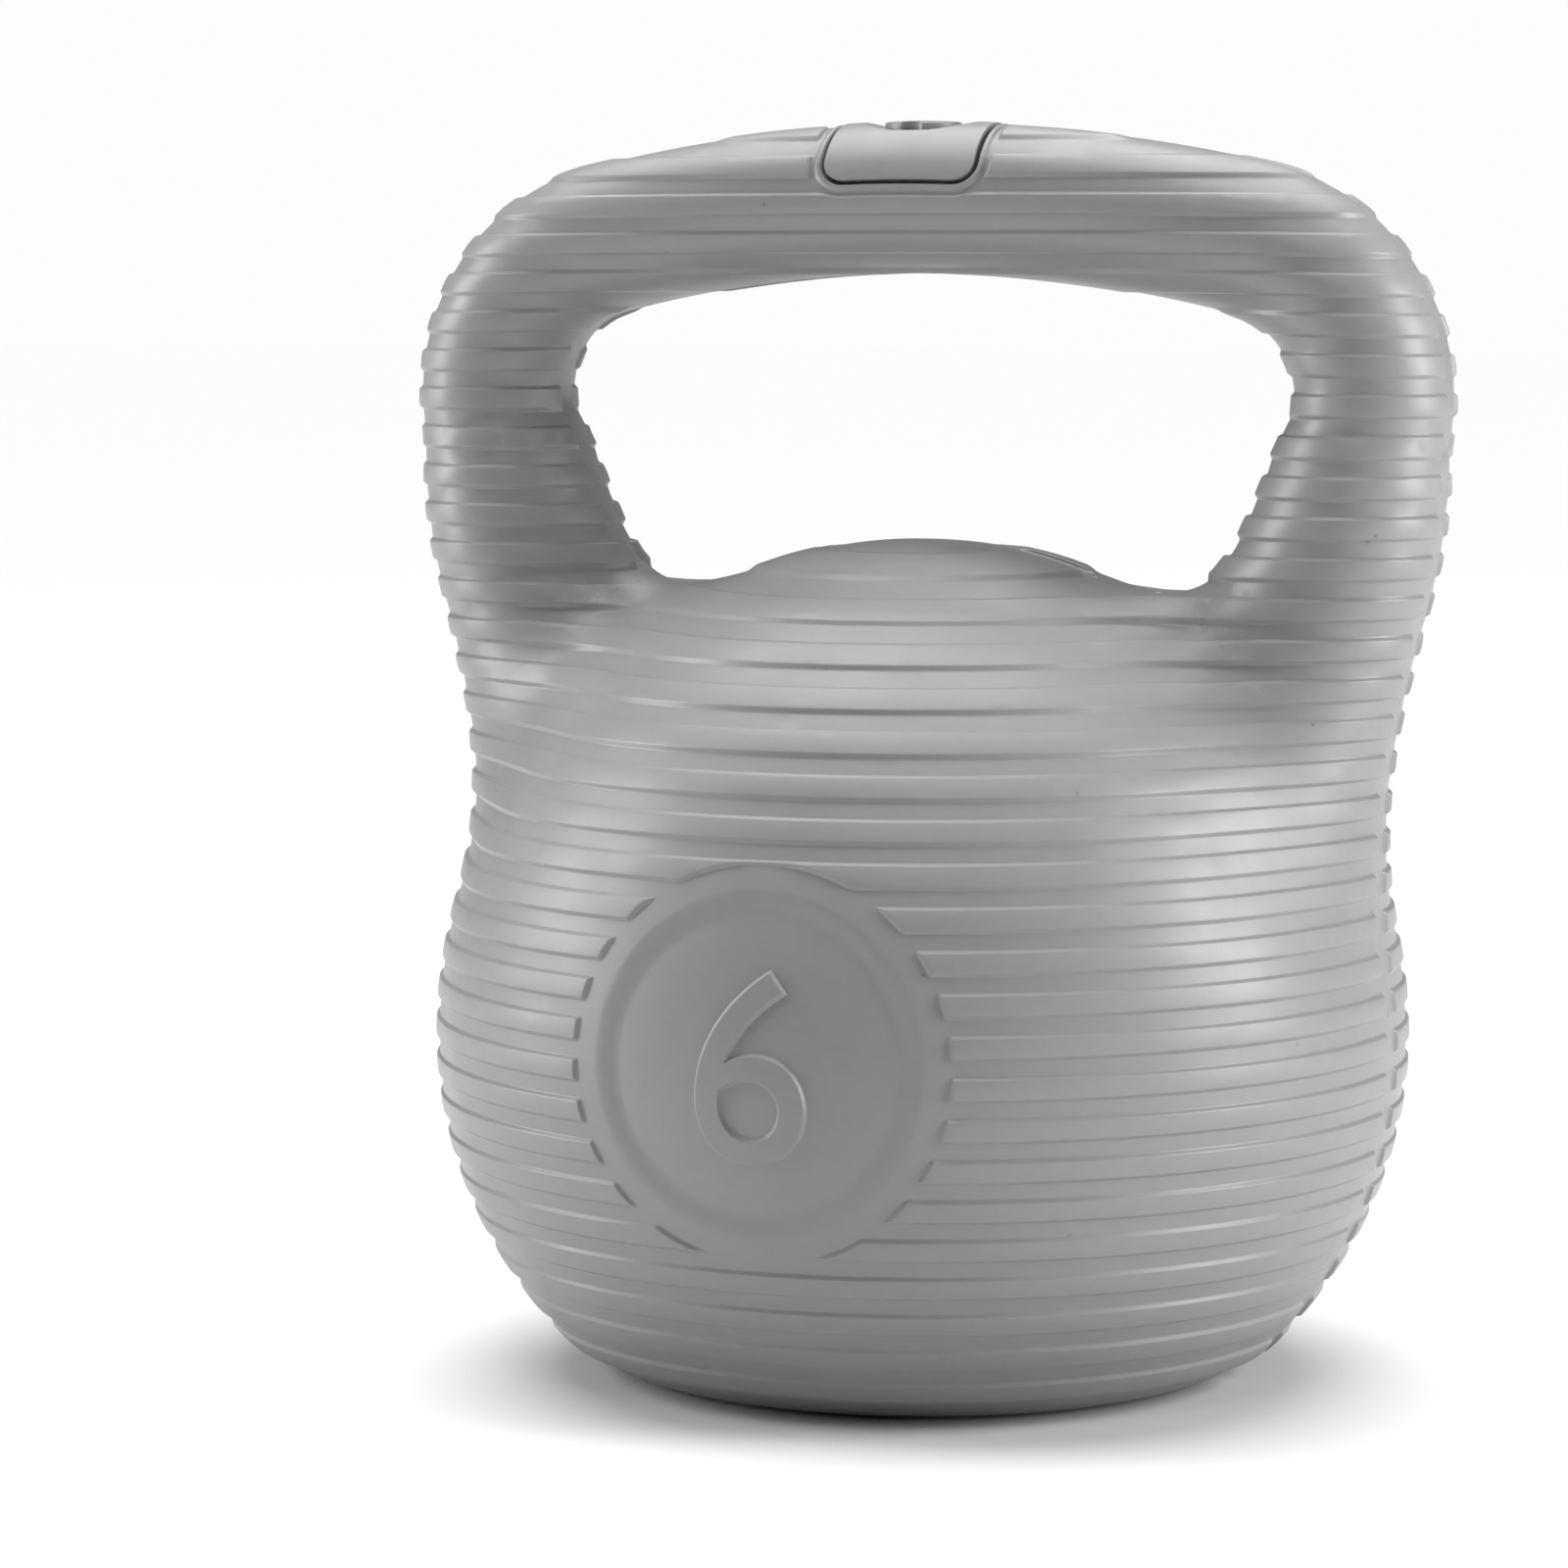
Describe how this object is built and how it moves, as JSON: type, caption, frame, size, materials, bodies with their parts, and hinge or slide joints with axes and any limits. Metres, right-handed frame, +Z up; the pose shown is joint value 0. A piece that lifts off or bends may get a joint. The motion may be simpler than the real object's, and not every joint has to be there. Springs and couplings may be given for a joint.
{
  "type": "kettlebell",
  "caption": "Sand-filled plastic kettlebell: round flat-based ball, wide looped handle, and a saddle cover with a screw plug over the filler in the middle of the bar.",
  "frame": {"origin": "centre of the flat base, on the surface that the kettlebell stands on", "axes": "+Z up through the middle of the handle, X along the handle bar, -Y towards the front with the weight mark"},
  "size_m": [0.2228, 0.2011, 0.2565],
  "materials": {
    "shell_plastic": "satin blow-moulded polyethylene, mid grey",
    "cover_plastic": "satin moulded plastic, mid grey",
    "plug_plastic": "satin moulded plastic, mid grey",
    "seal_rubber": "matte black rubber",
    "fill": "settled sand and cement, gritty"
  },
  "bodies": {
    "bell": {"shell": "shell_plastic", "ballast": "fill", "cover_gasket": "seal_rubber"},
    "cover": {"filler_cover": "cover_plastic"},
    "plug_thread": {"plug_seal": "seal_rubber"},
    "plug": {"filler_plug": "plug_plastic"}
  },
  "joints": [
    {"name": "cover_lift", "type": "slide", "parent": "bell", "child": "cover", "axis": [0, 0, 1], "range_m": [0, 0.02]},
    {"name": "plug_lift", "type": "slide", "parent": "cover", "child": "plug_thread", "axis": [0, 0, 1], "range_m": [0, 0.006]},
    {"name": "plug_turn", "type": "hinge", "parent": "plug_thread", "child": "plug", "pos_m": [0, 0, 0.2566], "axis": [0, 0, 1], "range_deg": [0, 720]}
  ],
  "couplings": [
    {"joint": "plug_turn", "follows": "plug_lift", "rad_per_m": 2094.4}
  ]
}
